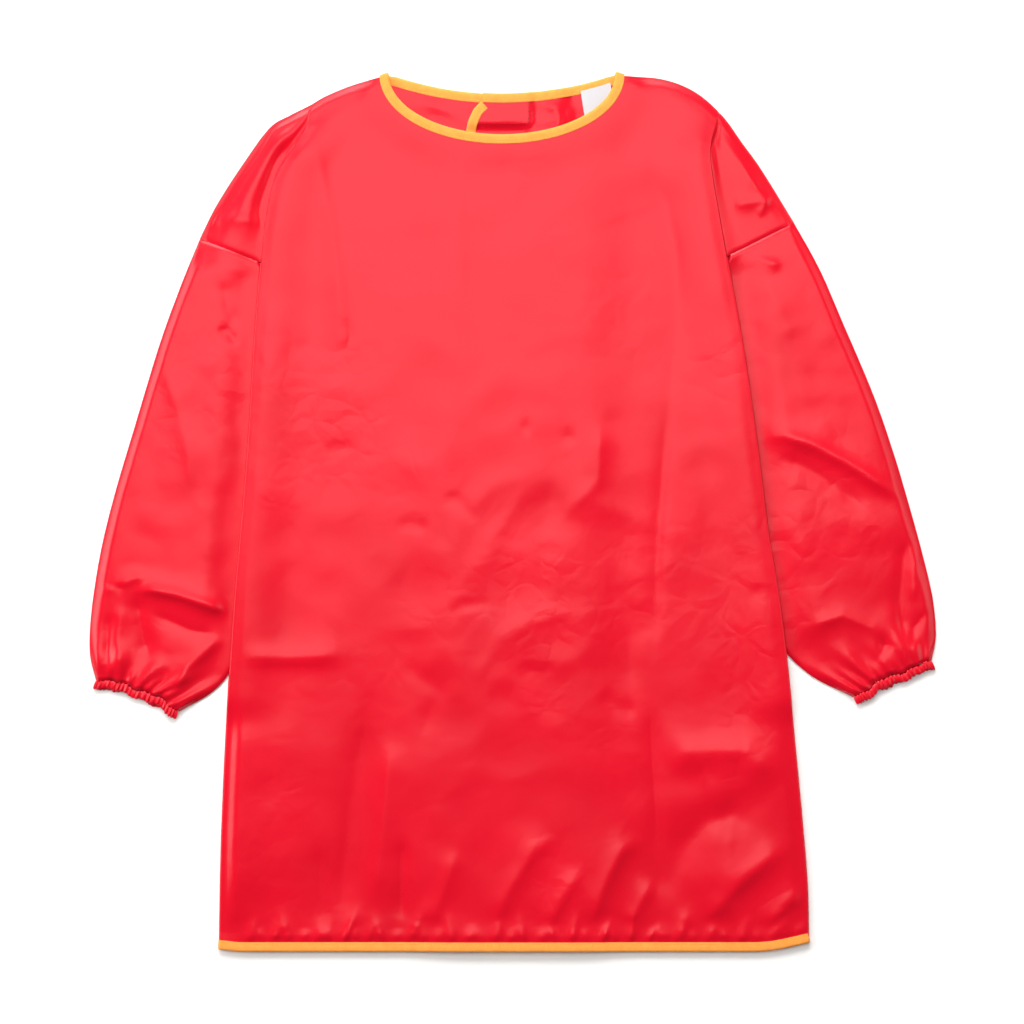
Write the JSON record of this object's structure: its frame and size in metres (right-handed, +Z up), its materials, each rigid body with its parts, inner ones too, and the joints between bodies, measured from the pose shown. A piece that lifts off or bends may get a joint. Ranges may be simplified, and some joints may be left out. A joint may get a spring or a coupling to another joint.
{
  "type": "school smock",
  "caption": "Child's long-sleeved school smock of coated nylon laid flat with its front up: bias-bound neck and hem, gathered elastic cuffs, back opening with hook-and-loop closure.",
  "frame": {"origin": "centre of the bounding box's base: the middle of the laid-out garment, on the surface it lies on", "axes": "+Y along the garment towards the neckline, +X to the right as seen from above with the neckline at the top, +Z up out of the front"},
  "size_m": [0.6273, 0.6517, 0.0073],
  "materials": {
    "red_coated_nylon": "smooth coated plain weave with a soft sheen",
    "orange_bias_tape": "matt woven tape",
    "red_hook_and_loop": "matt brushed pile",
    "white_label_tape": "smooth woven tape"
  },
  "bodies": {
    "root": {"front": "red_coated_nylon", "back_left": "red_coated_nylon", "back_right": "red_coated_nylon", "sleeve_left": "red_coated_nylon", "sleeve_right": "red_coated_nylon", "cuff_left": "red_coated_nylon", "cuff_right": "red_coated_nylon", "neck_binding": "orange_bias_tape", "hem_binding": "orange_bias_tape", "back_edge_binding_left": "orange_bias_tape", "back_edge_binding_right": "orange_bias_tape", "closure_hook_patch": "red_hook_and_loop", "closure_loop_patch": "red_hook_and_loop", "neck_label": "white_label_tape"}
  },
  "joints": []
}
